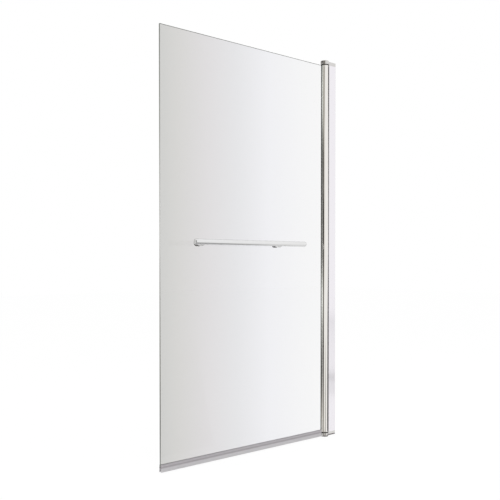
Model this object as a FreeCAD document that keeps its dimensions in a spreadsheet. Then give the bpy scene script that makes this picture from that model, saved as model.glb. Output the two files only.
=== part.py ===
"""Pivoting bath screen: glass panel on a round pivot tube, hinged to an adjustable wall profile.

Millimetres. X = 0 is the wall face and the screen runs towards -X. Y = 0 is the middle of the
glass, with the towel rail on the -Y side. Z = 0 is the middle of the wall fixings.
"""

import FreeCAD
import Part

import os

import Sketcher

Vector = FreeCAD.Vector

# Driving dimensions, in millimetres (counts are plain numbers).
SIZES = {
    # whole screen
    "screen_width": 785.0,
    "frame_height": 1400.0,
    "end_gap": 1.3,
    "pivot_offset": 48.0,
    "width_travel": 15.0,
    # fits: gap round a pushed-in piece, round a turning pin, and round a passing screw
    "seat_gap": 0.02,
    "running_gap": 0.05,
    "passing_gap": 0.25,
    # glass panel
    "glass_thickness": 6.0,
    "glass_inset": 8.4,
    "glass_end_inset": 1.4,
    "glass_arris": 0.6,
    "glass_hole_radius": 7.0,
    # pivot tube, an extrusion with a channel for the glass
    "tube_radius": 15.0,
    "tube_wall": 1.6,
    "channel_half": 4.5,
    "channel_wall": 1.5,
    "channel_floor": 7.9,
    "channel_reach": 13.0,
    "gasket_lip": 3.4,
    # wall channel
    "wall_channel_half": 10.1,
    "wall_channel_depth": 23.5,
    "wall_channel_wall": 1.5,
    "wall_channel_web": 1.8,
    "wall_channel_clear": 1.0,
    "wall_hole_radius": 2.75,
    "wall_hole_span": 1260.0,
    "wall_hole_count": 4,
    # adjusting profile, which slides over the wall channel
    "wall_gap": 1.0,
    "profile_half": 12.0,
    "profile_wall": 1.6,
    "profile_reach": 36.0,
    "profile_floor": 29.8,
    "profile_round": 1.0,
    "hug_radius": 16.6,
    "port_place": 27.2,
    "port_half_pitch": 6.0,
    "port_radius": 3.4,
    # width locks
    "lock_place": 20.0,
    "lock_span": 1120.0,
    "lock_count": 3,
    "lock_slot_radius": 2.3,
    "lock_face_gap": 0.1,
    "lock_shank_radius": 2.0,
    "lock_shank_end": 7.2,
    "lock_head_radius": 3.75,
    "lock_head_height": 2.2,
    "lock_washer_radius": 5.0,
    "lock_washer_height": 1.2,
    "lock_cap_radius": 6.1,
    "lock_cap_wall": 0.95,
    "lock_cap_height": 4.6,
    "lock_cap_bevel": 1.2,
    # cast brackets at both ends of the frame
    "arm_height": 14.0,
    "boss_radius": 16.3,
    "boss_height": 17.0,
    "boss_round": 2.5,
    "boss_relief": 2.5,
    "arm_round": 1.0,
    "pin_seat_depth": 12.0,
    "bracket_screw_radius": 2.0,
    "bracket_screw_head": 3.75,
    "bracket_screw_length": 30.0,
    "head_recess": 0.15,
    # pivots
    "pin_radius": 4.0,
    "pin_reach": 14.0,
    "bush_radius": 5.5,
    "bush_length": 18.0,
    "bush_flange_radius": 14.4,
    "bush_end_gap": 0.1,
    "plug_length": 28.0,
    # bottom seal
    "seal_end_gap": 18.5,
    "seal_grip_height": 7.5,
    "seal_grip_top": 4.1,
    "seal_shoulder": 4.3,
    "seal_base": 2.1,
    "seal_drop": 16.9,
    "seal_tip_out": 5.6,
    "seal_tip_in": 4.7,
    "seal_root": 3.1,
    # towel rail
    "rail_radius": 9.5,
    "rail_wall": 1.2,
    "rail_length": 480.0,
    "rail_middle": 464.0,
    "rail_height": 15.0,
    "rail_offset": 76.0,
    "post_pitch": 340.0,
    "dome_height": 4.5,
    "dome_round": 4.3,
    "spigot_length": 12.0,
    "insert_length": 22.0,
    "stud_radius": 3.0,
    "stud_bite": 3.0,
    "stud_tail": 13.5,
    "post_radius": 7.0,
    "post_front": 72.0,
    "boss_ring_radius": 11.25,
    "boss_ring_front": 20.0,
    "boss_ring_round": 1.5,
    "washer_thickness": 1.0,
    "washer_radius": 11.0,
    "cap_nut_radius": 12.5,
    "cap_nut_depth": 18.0,
    "cap_nut_round": 3.5,
}

SHEET = "Dimensions"
TOP, BOTTOM = 1, -1
NEAR = 1e-3


class Size:
    """A length together with the sheet formula that gives it."""

    def __init__(self, value, formula):
        self.value = float(value)
        self.formula = formula

    @staticmethod
    def of(item):
        """Return item as a Size; a plain number is its own formula."""
        return item if isinstance(item, Size) else Size(item, repr(float(item)))

    def _with(self, other, sign, value):
        return Size(value, f"({self.formula} {sign} {Size.of(other).formula})")

    def __add__(self, other):
        return self._with(other, "+", self.value + Size.of(other).value)

    def __sub__(self, other):
        return self._with(other, "-", self.value - Size.of(other).value)

    def __mul__(self, other):
        return self._with(other, "*", self.value * Size.of(other).value)

    def __truediv__(self, other):
        return self._with(other, "/", self.value / Size.of(other).value)

    def __neg__(self):
        return Size(-self.value, f"(0 - {self.formula})")


class Sheet:
    """Gives each driving dimension as a Size, by its name."""

    def __getattr__(self, name):
        return Size(SIZES[name], f"{SHEET}.{name}")


dim = Sheet()
doc = FreeCAD.newDocument("BathScreen")


def write_sheet():
    """Put every driving dimension in the document's spreadsheet."""
    sheet = doc.addObject("Spreadsheet::Sheet", SHEET)
    for row, (name, value) in enumerate(SIZES.items(), start=1):
        sheet.set(f"A{row}", name)
        sheet.set(f"B{row}", str(value))
        sheet.setAlias(f"B{row}", name)
    doc.recompute()


def bind(obj, prop, size):
    """Tie a property to the sheet."""
    obj.setExpression(prop, Size.of(size).formula)


# ---------------------------------------------------------------- sketches


def origin_feature(body, role):
    """Return the body's own origin plane or axis with this role."""
    return next(f for f in body.Origin.OriginFeatures if f.Role == role)


def new_body(label):
    """Start a sub-part; its label names its file."""
    body = doc.addObject("PartDesign::Body", label)
    body.Label = label
    return body


def new_sketch(body, role, shift=(0, 0, 0)):
    """Start a sketch on an origin plane, moved by shift in the plane's own axes."""
    sketch = body.newObject("Sketcher::SketchObject", f"{body.Label}_sketch")
    sketch.AttachmentSupport = [(origin_feature(body, role), "")]
    sketch.MapMode = "FlatFace"
    for axis, size in zip("xyz", shift):
        bind(sketch, f"AttachmentOffset.Base.{axis}", size)
    return sketch


def constrain(sketch, kind, size, *where):
    """Add a dimension to a sketch and tie it to the sheet."""
    size = Size.of(size)
    index = sketch.addConstraint(Sketcher.Constraint(kind, *where, size.value))
    sketch.setExpression(f"Constraints[{index}]", size.formula)


def pin_point(sketch, geometry, vertex, x, y):
    """Fix one vertex at x, y from the sketch's origin."""
    constrain(sketch, "DistanceX", x, -1, 1, geometry, vertex)
    constrain(sketch, "DistanceY", y, -1, 1, geometry, vertex)


def add_polygon(sketch, points):
    """Draw a closed outline through points, each an (x, y) pair of sizes."""
    corners = [Vector(Size.of(x).value, Size.of(y).value, 0) for x, y in points]
    lines = []
    for start, end in zip(corners, corners[1:] + corners[:1]):
        lines.append(sketch.addGeometry(Part.LineSegment(start, end)))
    for line, following in zip(lines, lines[1:] + lines[:1]):
        sketch.addConstraint(Sketcher.Constraint("Coincident", line, 2, following, 1))
    for line, (x, y) in zip(lines, points):
        pin_point(sketch, line, 1, x, y)


def add_rectangle(sketch, left, right, low, high):
    """Draw a rectangle."""
    add_polygon(sketch, [(left, low), (right, low), (right, high), (left, high)])


def add_circle(sketch, x, y, radius):
    """Draw a circle."""
    x, y, radius = Size.of(x), Size.of(y), Size.of(radius)
    shape = Part.Circle(Vector(x.value, y.value, 0), Vector(0, 0, 1), radius.value)
    circle = sketch.addGeometry(shape)
    pin_point(sketch, circle, 3, x, y)
    constrain(sketch, "Radius", radius, circle)


def add_slot(sketch, left, right, y, radius):
    """Draw a slot along X, with round ends centred at left and right."""
    left, right, y, radius = (Size.of(item) for item in (left, right, y, radius))
    quarter = 1.5707963267948966
    ends = []
    for centre, start in ((left, quarter), (right, -quarter)):
        circle = Part.Circle(Vector(centre.value, y.value, 0), Vector(0, 0, 1), radius.value)
        arc = Part.ArcOfCircle(circle, start, start + 2 * quarter)
        ends.append(sketch.addGeometry(arc))
    sides = []
    for sign in (1, -1):
        level = y.value + sign * radius.value
        side = Part.LineSegment(Vector(left.value, level, 0), Vector(right.value, level, 0))
        sides.append(sketch.addGeometry(side))
    left_end, right_end = ends
    upper, lower = sides
    joins = (
        (left_end, 1, upper, 1),
        (left_end, 2, lower, 1),
        (right_end, 2, upper, 2),
        (right_end, 1, lower, 2),
    )
    for join in joins:
        sketch.addConstraint(Sketcher.Constraint("Tangent", *join))
    for end, centre in ((left_end, left), (right_end, right)):
        pin_point(sketch, end, 3, centre, y)
        constrain(sketch, "Radius", radius, end)


# ---------------------------------------------------------------- features


def add_feature(body, kind, sketch=None):
    """Add a feature to a body and make it the body's result."""
    feature = body.newObject(f"PartDesign::{kind}", f"{body.Label}_{kind}")
    if sketch is not None:
        feature.Profile = sketch
        sketch.Visibility = False
    body.Tip = feature
    return feature


def pad(body, sketch, length, symmetric=False, reverse=False):
    """Extrude a sketch."""
    feature = add_feature(body, "Pad", sketch)
    feature.SideType = "Symmetric" if symmetric else "One side"
    feature.Reversed = reverse
    bind(feature, "Length", length)
    return feature


def pocket(body, sketch, length=None, symmetric=False, reverse=False):
    """Cut a sketch out of a body, right through where no length is given."""
    doc.recompute()
    before = body.Shape.Volume
    feature = add_feature(body, "Pocket", sketch)
    feature.SideType = "Symmetric" if symmetric else "One side"
    feature.Reversed = reverse
    if length is None:
        feature.Type = "ThroughAll"
    else:
        bind(feature, "Length", length)
    doc.recompute()
    if body.Shape.Volume > before - NEAR:
        raise RuntimeError(f"a pocket in {body.Label} cuts nothing")
    return feature


def turn(body, sketch, axis):
    """Revolve a sketch about one of its own axes."""
    feature = add_feature(body, "Revolution", sketch)
    feature.ReferenceAxis = (sketch, [axis])
    feature.Angle = 360
    return feature


def repeat(body, originals, role, span, count):
    """Repeat features in a row along an origin axis."""
    doc.recompute()
    feature = add_feature(body, "LinearPattern")
    feature.Originals = originals
    feature.Direction = (origin_feature(body, role), [""])
    bind(feature, "Length", span)
    bind(feature, "Occurrences", count)
    return feature


def mirror(body, originals, sketch, axis):
    """Mirror features across one of a sketch's own axes."""
    doc.recompute()
    feature = add_feature(body, "Mirrored")
    feature.Originals = originals
    feature.MirrorPlane = (sketch, [axis])
    return feature


def edge_names(shape, wanted):
    """Return the names of the edges for which wanted(edge) holds."""
    names = [f"Edge{i}" for i, edge in enumerate(shape.Edges, start=1) if wanted(edge)]
    if not names:
        raise RuntimeError("no edge to dress")
    return names


def dress(body, kind, prop, size, wanted):
    """Round or chamfer the edges of a body for which wanted(edge) holds."""
    doc.recompute()
    base = body.Tip
    names = edge_names(base.Shape, wanted)
    feature = add_feature(body, kind)
    feature.Base = (base, names)
    bind(feature, prop, size)
    return feature


def is_circle(edge, radius):
    """Tell whether an edge is a circle of this radius."""
    curve = edge.Curve
    return isinstance(curve, Part.Circle) and abs(curve.Radius - radius.value) < NEAR


def runs_along(edge, axis):
    """Tell whether an edge is a straight line along an axis."""
    if not isinstance(edge.Curve, (Part.Line, Part.LineSegment)):
        return False
    return abs(abs(edge.Curve.Direction.dot(axis)) - 1) < NEAR


# ---------------------------------------------------------------- shared places

half_height = dim.frame_height / 2
tube_half = half_height - dim.end_gap
glass_top = tube_half - dim.glass_end_inset
glass_half = dim.glass_thickness / 2
glass_edge = -dim.pivot_offset - dim.glass_inset
lock_face = dim.profile_half + dim.lock_face_gap
lock_head_seat = lock_face + dim.lock_washer_height
first_lock = -dim.lock_span / 2
first_post = -dim.rail_middle - dim.post_pitch / 2
washer_face = glass_half + dim.washer_thickness
rail_inner_radius = dim.rail_radius - dim.rail_wall
stud_hole_radius = dim.stud_radius + dim.passing_gap


# ---------------------------------------------------------------- wall side


def make_wall_channel():
    """U-shaped extrusion that is screwed to the wall."""
    body = new_body("wall_channel")
    half, deep = dim.wall_channel_half, dim.wall_channel_depth
    inner = half - dim.wall_channel_wall
    section = new_sketch(body, "XY_Plane")
    outline = [
        (0, -half),
        (0, half),
        (-deep, half),
        (-deep, inner),
        (-dim.wall_channel_web, inner),
        (-dim.wall_channel_web, -inner),
        (-deep, -inner),
        (-deep, -half),
    ]
    add_polygon(section, outline)
    pad(body, section, dim.frame_height - dim.wall_channel_clear * 2, symmetric=True)

    wall_hole = new_sketch(body, "YZ_Plane")
    add_circle(wall_hole, 0, -dim.wall_hole_span / 2, dim.wall_hole_radius)
    hole = pocket(body, wall_hole)
    repeat(body, [hole], "Z_Axis", dim.wall_hole_span, dim.wall_hole_count)

    lock_hole = new_sketch(body, "XZ_Plane")
    add_circle(lock_hole, -dim.lock_place, first_lock, dim.lock_shank_radius + dim.seat_gap)
    hole = pocket(body, lock_hole)
    repeat(body, [hole], "Z_Axis", dim.lock_span, dim.lock_count)
    return body


def make_lock_piece(label, outline):
    """Turned piece at each width lock; outline is (radius, y) pairs."""
    body = new_body(label)
    sketch = new_sketch(body, "XY_Plane", (-dim.lock_place, 0, first_lock))
    add_polygon(sketch, outline)
    piece = turn(body, sketch, "V_Axis")
    repeat(body, [piece], "Z_Axis", dim.lock_span, dim.lock_count)
    return body


def make_lock_screws():
    """Pan-head screws that clamp the adjusting profile to the wall channel."""
    head_top = lock_head_seat + dim.lock_head_height
    outline = [
        (0, dim.lock_shank_end),
        (dim.lock_shank_radius, dim.lock_shank_end),
        (dim.lock_shank_radius, lock_head_seat),
        (dim.lock_head_radius, lock_head_seat),
        (dim.lock_head_radius, head_top),
        (0, head_top),
    ]
    return make_lock_piece("lock_screws", outline)


def make_lock_washers():
    """Washers under the lock screws' heads, which the caps snap onto."""
    bore = dim.lock_shank_radius + dim.running_gap
    outline = [
        (bore, lock_face),
        (dim.lock_washer_radius, lock_face),
        (dim.lock_washer_radius, lock_head_seat),
        (bore, lock_head_seat),
    ]
    return make_lock_piece("lock_washers", outline)


def make_lock_caps():
    """Snap-on covers over the lock screws."""
    outer = dim.lock_cap_radius
    inner = outer - dim.lock_cap_wall
    top = lock_face + dim.lock_cap_height
    outline = [
        (inner, lock_face),
        (outer, lock_face),
        (outer, top - dim.lock_cap_bevel),
        (outer - dim.lock_cap_bevel, top),
        (0, top),
        (0, top - dim.lock_cap_wall),
        (inner, top - dim.lock_cap_wall),
    ]
    return make_lock_piece("lock_caps", outline)


# ---------------------------------------------------------------- hinge frame


def make_adjusting_profile():
    """Extrusion that slides over the wall channel and hugs the pivot tube."""
    body = new_body("adjusting_profile")
    section = new_sketch(body, "XY_Plane")
    half = dim.profile_half
    add_rectangle(section, -dim.profile_reach, -dim.wall_gap, -half, half)
    pad(body, section, dim.frame_height, symmetric=True)

    hug = new_sketch(body, "XY_Plane")
    add_circle(hug, -dim.pivot_offset, 0, dim.hug_radius)
    pocket(body, hug, dim.frame_height * 2, symmetric=True)

    cavity = new_sketch(body, "XY_Plane")
    inner = half - dim.profile_wall
    add_rectangle(cavity, -dim.profile_floor, 0, -inner, inner)
    pocket(body, cavity, dim.frame_height * 2, symmetric=True)

    for side in (-1, 1):
        port = new_sketch(body, "XY_Plane")
        add_circle(port, -dim.port_place, dim.port_half_pitch * side, dim.port_radius)
        pad(body, port, dim.frame_height, symmetric=True)
    bores = new_sketch(body, "XY_Plane")
    for side in (-1, 1):
        bore = dim.bracket_screw_radius + dim.seat_gap
        add_circle(bores, -dim.port_place, dim.port_half_pitch * side, bore)
    pocket(body, bores, dim.frame_height * 2, symmetric=True)

    slot = new_sketch(body, "XZ_Plane")
    far_end = -dim.lock_place + dim.width_travel
    add_slot(slot, -dim.lock_place, far_end, first_lock, dim.lock_slot_radius)
    cut = pocket(body, slot)
    repeat(body, [cut], "Z_Axis", dim.lock_span, dim.lock_count)

    def wall_side_edge(edge):
        if not runs_along(edge, Vector(0, 0, 1)):
            return False
        middle = edge.CenterOfMass
        outer = abs(abs(middle.y) - half.value) < NEAR
        return outer and abs(middle.x + dim.wall_gap.value) < NEAR

    dress(body, "Fillet", "Radius", dim.profile_round, wall_side_edge)
    return body


def make_bracket(label, end):
    """Cast bracket: an arm over the profile's end and a round boss over the tube's end."""
    body = new_body(label)
    level = half_height * end
    reverse = end == BOTTOM

    arm = new_sketch(body, "XY_Plane", (0, 0, level))
    half = dim.profile_half
    add_rectangle(arm, -dim.pivot_offset, -dim.wall_gap, -half, half)
    pad(body, arm, dim.arm_height, reverse=reverse)

    boss = new_sketch(body, "XY_Plane", (0, 0, level))
    add_circle(boss, -dim.pivot_offset, 0, dim.boss_radius)
    pad(body, boss, dim.boss_height, reverse=reverse)

    relief = new_sketch(body, "XY_Plane", (0, 0, level))
    add_circle(relief, -dim.pivot_offset, 0, dim.hug_radius)
    pocket(body, relief, dim.boss_relief, reverse=not reverse)

    pin_seat = new_sketch(body, "XY_Plane", (0, 0, level))
    add_circle(pin_seat, -dim.pivot_offset, 0, dim.pin_radius + dim.seat_gap)
    pocket(body, pin_seat, dim.pin_seat_depth, reverse=not reverse)

    hole_radius = dim.bracket_screw_radius + dim.passing_gap
    holes = new_sketch(body, "XY_Plane", (0, 0, level))
    for side in (-1, 1):
        add_circle(holes, -dim.port_place, dim.port_half_pitch * side, hole_radius)
    pocket(body, holes, reverse=not reverse)

    arm_face = (half_height + dim.arm_height) * end
    boss_face = (half_height + dim.boss_height) * end
    sink = dim.bracket_screw_head + dim.seat_gap - hole_radius

    def outer_hole_edge(edge):
        return is_circle(edge, hole_radius) and abs(edge.Curve.Center.z - arm_face.value) < NEAR

    def boss_rim(edge):
        return is_circle(edge, dim.boss_radius) and abs(edge.Curve.Center.z - boss_face.value) < NEAR

    def arm_rim(edge):
        straight = runs_along(edge, Vector(1, 0, 0)) or runs_along(edge, Vector(0, 1, 0))
        return straight and abs(edge.CenterOfMass.z - arm_face.value) < NEAR

    dress(body, "Chamfer", "Size", sink, outer_hole_edge)
    dress(body, "Fillet", "Radius", dim.boss_round, boss_rim)
    dress(body, "Fillet", "Radius", dim.arm_round, arm_rim)
    return body


def make_bracket_screws(label, end):
    """Countersunk screws from a bracket into the profile's screw ports."""
    body = new_body(label)
    shank = dim.bracket_screw_radius
    head = dim.bracket_screw_head - dim.head_recess
    top = (half_height + dim.arm_height - dim.head_recess) * end
    neck = top - (head - shank) * end
    tip = top - dim.bracket_screw_length * end
    sketch = new_sketch(body, "XZ_Plane", (-dim.port_place, 0, dim.port_half_pitch))
    add_polygon(sketch, [(0, tip), (shank, tip), (shank, neck), (head, top), (0, top)])
    screw = turn(body, sketch, "V_Axis")
    repeat(body, [screw], "Y_Axis", dim.port_half_pitch * 2, 2)
    return body


def make_pivot_pin(label, end):
    """Steel pin held in a bracket, on which the tube's bush turns."""
    pin = doc.addObject("Part::Cylinder", label)
    pin.Label = label
    length = dim.pin_seat_depth + dim.pin_reach
    bind(pin, "Radius", dim.pin_radius)
    bind(pin, "Height", length)
    low = half_height - dim.pin_reach if end == TOP else -half_height - dim.pin_seat_depth
    bind(pin, "Placement.Base.x", -dim.pivot_offset)
    bind(pin, "Placement.Base.z", low)
    return pin


# ---------------------------------------------------------------- turning screen


def make_pivot_tube():
    """Round extrusion with a channel that holds the glass."""
    body = new_body("pivot_tube")
    ring = new_sketch(body, "XY_Plane")
    add_circle(ring, -dim.pivot_offset, 0, dim.tube_radius)
    add_circle(ring, -dim.pivot_offset, 0, dim.tube_radius - dim.tube_wall)
    pad(body, ring, tube_half * 2, symmetric=True)

    block = new_sketch(body, "XY_Plane")
    back = -dim.pivot_offset - dim.channel_floor + dim.channel_wall
    wall = dim.channel_half + dim.channel_wall
    add_rectangle(block, -dim.pivot_offset - dim.channel_reach, back, -wall, wall)
    pad(body, block, tube_half * 2, symmetric=True)

    channel = new_sketch(body, "XY_Plane")
    mouth = -dim.pivot_offset - dim.tube_radius - dim.tube_wall
    floor = -dim.pivot_offset - dim.channel_floor
    add_rectangle(channel, mouth, floor, -dim.channel_half, dim.channel_half)
    pocket(body, channel, dim.frame_height * 2, symmetric=True)
    return body


def make_tube_plug(label, end):
    """Plug in the end of the tube, notched for the glass channel and bored for the bush."""
    body = new_body(label)
    level = tube_half * end
    inward = end == TOP
    disc = new_sketch(body, "XY_Plane", (0, 0, level))
    add_circle(disc, -dim.pivot_offset, 0, dim.tube_radius - dim.tube_wall - dim.running_gap)
    pad(body, disc, dim.plug_length, reverse=inward)

    notch = new_sketch(body, "XY_Plane", (0, 0, level))
    back = -dim.pivot_offset - dim.channel_floor + dim.channel_wall + dim.running_gap
    wall = dim.channel_half + dim.channel_wall + dim.running_gap
    add_rectangle(notch, -dim.pivot_offset - dim.tube_radius, back, -wall, wall)
    pocket(body, notch, dim.plug_length * 3, symmetric=True)

    bore = new_sketch(body, "XY_Plane", (0, 0, level))
    add_circle(bore, -dim.pivot_offset, 0, dim.bush_radius + dim.seat_gap)
    pocket(body, bore, dim.plug_length * 3, symmetric=True)
    return body


def make_pivot_bush(label, end):
    """Flanged plastic bush between a plug and its pin, with the flange against the bracket."""
    body = new_body(label)
    sketch = new_sketch(body, "XZ_Plane", (-dim.pivot_offset, 0, 0))
    bore = dim.pin_radius + dim.running_gap
    inner_end = (tube_half - dim.bush_length) * end
    flange_seat = tube_half * end
    flange_face = (half_height + dim.boss_relief - dim.bush_end_gap) * end
    outline = [
        (bore, inner_end),
        (dim.bush_radius, inner_end),
        (dim.bush_radius, flange_seat),
        (dim.bush_flange_radius, flange_seat),
        (dim.bush_flange_radius, flange_face),
        (bore, flange_face),
    ]
    add_polygon(sketch, outline)
    turn(body, sketch, "V_Axis")
    return body


def make_glazing_gasket():
    """Clear U-shaped gasket that wraps the glass edge inside the tube's channel."""
    body = new_body("glazing_gasket")
    section = new_sketch(body, "XY_Plane")
    lip = -dim.pivot_offset - dim.tube_radius - dim.gasket_lip
    back = -dim.pivot_offset - dim.channel_floor - dim.running_gap
    outer = dim.channel_half - dim.running_gap
    inner = glass_half + dim.seat_gap
    floor = glass_edge + dim.seat_gap
    outline = [
        (lip, inner),
        (lip, outer),
        (back, outer),
        (back, -outer),
        (lip, -outer),
        (lip, -inner),
        (floor, -inner),
        (floor, inner),
    ]
    add_polygon(section, outline)
    pad(body, section, glass_top * 2, symmetric=True)
    return body


def make_glass_panel():
    """Toughened glass sheet with two holes for the towel rail and ground arrises."""
    body = new_body("glass_panel")
    sheet = new_sketch(body, "XZ_Plane")
    add_rectangle(sheet, -dim.screen_width, glass_edge, -glass_top, glass_top)
    pad(body, sheet, dim.glass_thickness, symmetric=True)

    hole = new_sketch(body, "XZ_Plane")
    add_circle(hole, first_post, dim.rail_height, dim.glass_hole_radius)
    cut = pocket(body, hole, dim.glass_thickness * 2, symmetric=True)
    repeat(body, [cut], "X_Axis", dim.post_pitch, 2)

    def face_edge(edge):
        straight = runs_along(edge, Vector(1, 0, 0)) or runs_along(edge, Vector(0, 0, 1))
        return straight and abs(abs(edge.CenterOfMass.y) - glass_half.value) < NEAR

    dress(body, "Chamfer", "Size", dim.glass_arris, face_edge)
    return body


def make_bottom_seal():
    """Clear extruded seal: a grip on the glass's lower edge and two fins below it."""
    body = new_body("bottom_seal")
    section = new_sketch(body, "YZ_Plane", (0, 0, -dim.screen_width))
    edge = -glass_top
    top = edge + dim.seal_grip_height
    inner = glass_half + dim.seat_gap
    shoulder = edge - dim.seal_base
    tip = edge - dim.seal_drop
    right = [
        (inner, edge - dim.running_gap),
        (inner, top),
        (dim.seal_grip_top, top),
        (dim.seal_shoulder, shoulder),
        (dim.seal_tip_out, tip + 0.4),
        (dim.seal_tip_in, tip),
        (dim.seal_root, shoulder - 1.0),
    ]
    left = [(-y, z) for y, z in reversed(right)]
    add_polygon(section, right + left)
    pad(body, section, dim.screen_width - dim.pivot_offset - dim.seal_end_gap)
    return body


# ---------------------------------------------------------------- towel rail


def rail_sketch(body, role, x):
    """Start a sketch whose origin is on the rail's height, at x along the rail."""
    if role == "XY_Plane":
        return new_sketch(body, role, (x, 0, dim.rail_height))
    return new_sketch(body, role, (x, dim.rail_height, 0))


def make_towel_rail():
    """Thin-walled tube, drilled at the back for the studs."""
    body = new_body("towel_rail")
    tube_length = dim.rail_length - dim.dome_height * 2
    ring = new_sketch(body, "YZ_Plane", (-dim.rail_offset, dim.rail_height, -dim.rail_middle))
    add_circle(ring, 0, 0, dim.rail_radius)
    add_circle(ring, 0, 0, rail_inner_radius)
    pad(body, ring, tube_length, symmetric=True)

    hole = new_sketch(body, "XZ_Plane", (first_post, dim.rail_height, dim.rail_offset))
    add_circle(hole, 0, 0, stud_hole_radius)
    cut = pocket(body, hole)
    repeat(body, [cut], "X_Axis", dim.post_pitch, 2)
    return body


def make_rail_end_caps():
    """Domed plugs in both ends of the rail."""
    body = new_body("rail_end_caps")
    sketch = new_sketch(body, "XY_Plane", (-dim.rail_middle, -dim.rail_offset, dim.rail_height))
    seat = dim.rail_length / 2 - dim.dome_height
    inner_end = seat - dim.spigot_length
    face = dim.rail_length / 2
    spigot = rail_inner_radius - dim.running_gap
    outline = [
        (inner_end, 0),
        (inner_end, spigot),
        (seat, spigot),
        (seat, dim.rail_radius),
        (face, dim.rail_radius),
        (face, 0),
    ]
    add_polygon(sketch, outline)
    cap = turn(body, sketch, "H_Axis")
    mirror(body, [cap], sketch, "V_Axis")

    def outer_rim(edge):
        if not is_circle(edge, dim.rail_radius):
            return False
        from_middle = abs(edge.Curve.Center.x + dim.rail_middle.value)
        return abs(from_middle - face.value) < NEAR

    dress(body, "Fillet", "Radius", dim.dome_round, outer_rim)
    return body


def make_rail_inserts():
    """Brass slugs inside the rail, tapped for the studs."""
    body = new_body("rail_inserts")
    end = first_post - dim.insert_length / 2
    disc = new_sketch(body, "YZ_Plane", (-dim.rail_offset, dim.rail_height, end))
    add_circle(disc, 0, 0, rail_inner_radius - dim.running_gap)
    slug = pad(body, disc, dim.insert_length)
    bottom = dim.rail_offset + dim.stud_bite + 1.0
    hole = new_sketch(body, "XZ_Plane", (first_post, dim.rail_height, bottom))
    add_circle(hole, 0, 0, dim.stud_radius + dim.seat_gap)
    cut = pocket(body, hole)
    repeat(body, [slug, cut], "X_Axis", dim.post_pitch, 2)
    return body


def make_rail_posts():
    """Turned posts from the boss rings to the rail, saddled to sit on its back."""
    body = new_body("rail_posts")
    start = new_sketch(body, "XZ_Plane", (first_post, dim.rail_height, dim.boss_ring_front))
    add_circle(start, 0, 0, dim.post_radius)
    column = pad(body, start, dim.post_front - dim.boss_ring_front)
    saddle = new_sketch(body, "YZ_Plane", (-dim.rail_offset, dim.rail_height, first_post))
    add_circle(saddle, 0, 0, dim.rail_radius + dim.running_gap)
    scoop = pocket(body, saddle, dim.post_radius * 4, symmetric=True)
    hole = new_sketch(body, "XZ_Plane", (first_post, dim.rail_height, dim.post_front))
    add_circle(hole, 0, 0, stud_hole_radius)
    bore = pocket(body, hole)
    repeat(body, [column, scoop, bore], "X_Axis", dim.post_pitch, 2)
    return body


def make_post_piece(label, outline, round_size=None, rim=None):
    """Turned piece on each post's axis; outline is (radius, y) pairs and rim is its (radius, y)."""
    body = new_body(label)
    sketch = rail_sketch(body, "XY_Plane", first_post)
    add_polygon(sketch, outline)
    piece = turn(body, sketch, "V_Axis")
    repeat(body, [piece], "X_Axis", dim.post_pitch, 2)
    if rim is not None:
        radius, level = rim

        def is_rim(edge):
            return is_circle(edge, radius) and abs(edge.Curve.Center.y - level.value) < NEAR

        dress(body, "Fillet", "Radius", round_size, is_rim)
    return body


def ring_outline(inner, outer, near, far):
    """Outline of a plain ring from y = near to y = far."""
    return [(inner, near), (outer, near), (outer, far), (inner, far)]


def make_rail_boss_rings():
    """Thick rings on the rail's side of the glass, which carry the posts."""
    front = -dim.boss_ring_front
    outline = ring_outline(stud_hole_radius, dim.boss_ring_radius, front, -washer_face)
    rim = (dim.boss_ring_radius, front)
    return make_post_piece("rail_boss_rings", outline, dim.boss_ring_round, rim)


def make_glass_hole_bushes():
    """Clear flanged bushes that keep the studs off the glass."""
    spigot = dim.glass_hole_radius - dim.seat_gap * 5
    face = -glass_half - dim.seat_gap
    outline = [
        (stud_hole_radius, -washer_face),
        (dim.washer_radius, -washer_face),
        (dim.washer_radius, face),
        (spigot, face),
        (spigot, glass_half - dim.seat_gap * 5),
        (stud_hole_radius, glass_half - dim.seat_gap * 5),
    ]
    return make_post_piece("glass_hole_bushes", outline)


def make_rear_glass_washers():
    """Clear washers between the glass and the cap nuts."""
    outline = ring_outline(
        stud_hole_radius, dim.washer_radius, glass_half + dim.seat_gap, washer_face
    )
    return make_post_piece("rear_glass_washers", outline)


def make_rail_cap_nuts():
    """Round blind nuts on the bath side of the glass."""
    bore = dim.stud_radius + dim.seat_gap
    bore_end = dim.stud_tail + 0.5
    outline = [
        (bore, washer_face),
        (dim.cap_nut_radius, washer_face),
        (dim.cap_nut_radius, dim.cap_nut_depth),
        (0, dim.cap_nut_depth),
        (0, bore_end),
        (bore, bore_end),
    ]
    rim = (dim.cap_nut_radius, dim.cap_nut_depth)
    return make_post_piece("rail_cap_nuts", outline, dim.cap_nut_round, rim)


def make_rail_studs():
    """Threaded rods that clamp the rail, posts and glass together."""
    tip = -dim.rail_offset - dim.stud_bite
    tail = dim.stud_tail
    outline = [(0, tip), (dim.stud_radius, tip), (dim.stud_radius, tail), (0, tail)]
    return make_post_piece("rail_studs", outline)


# ---------------------------------------------------------------- build and write


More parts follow.
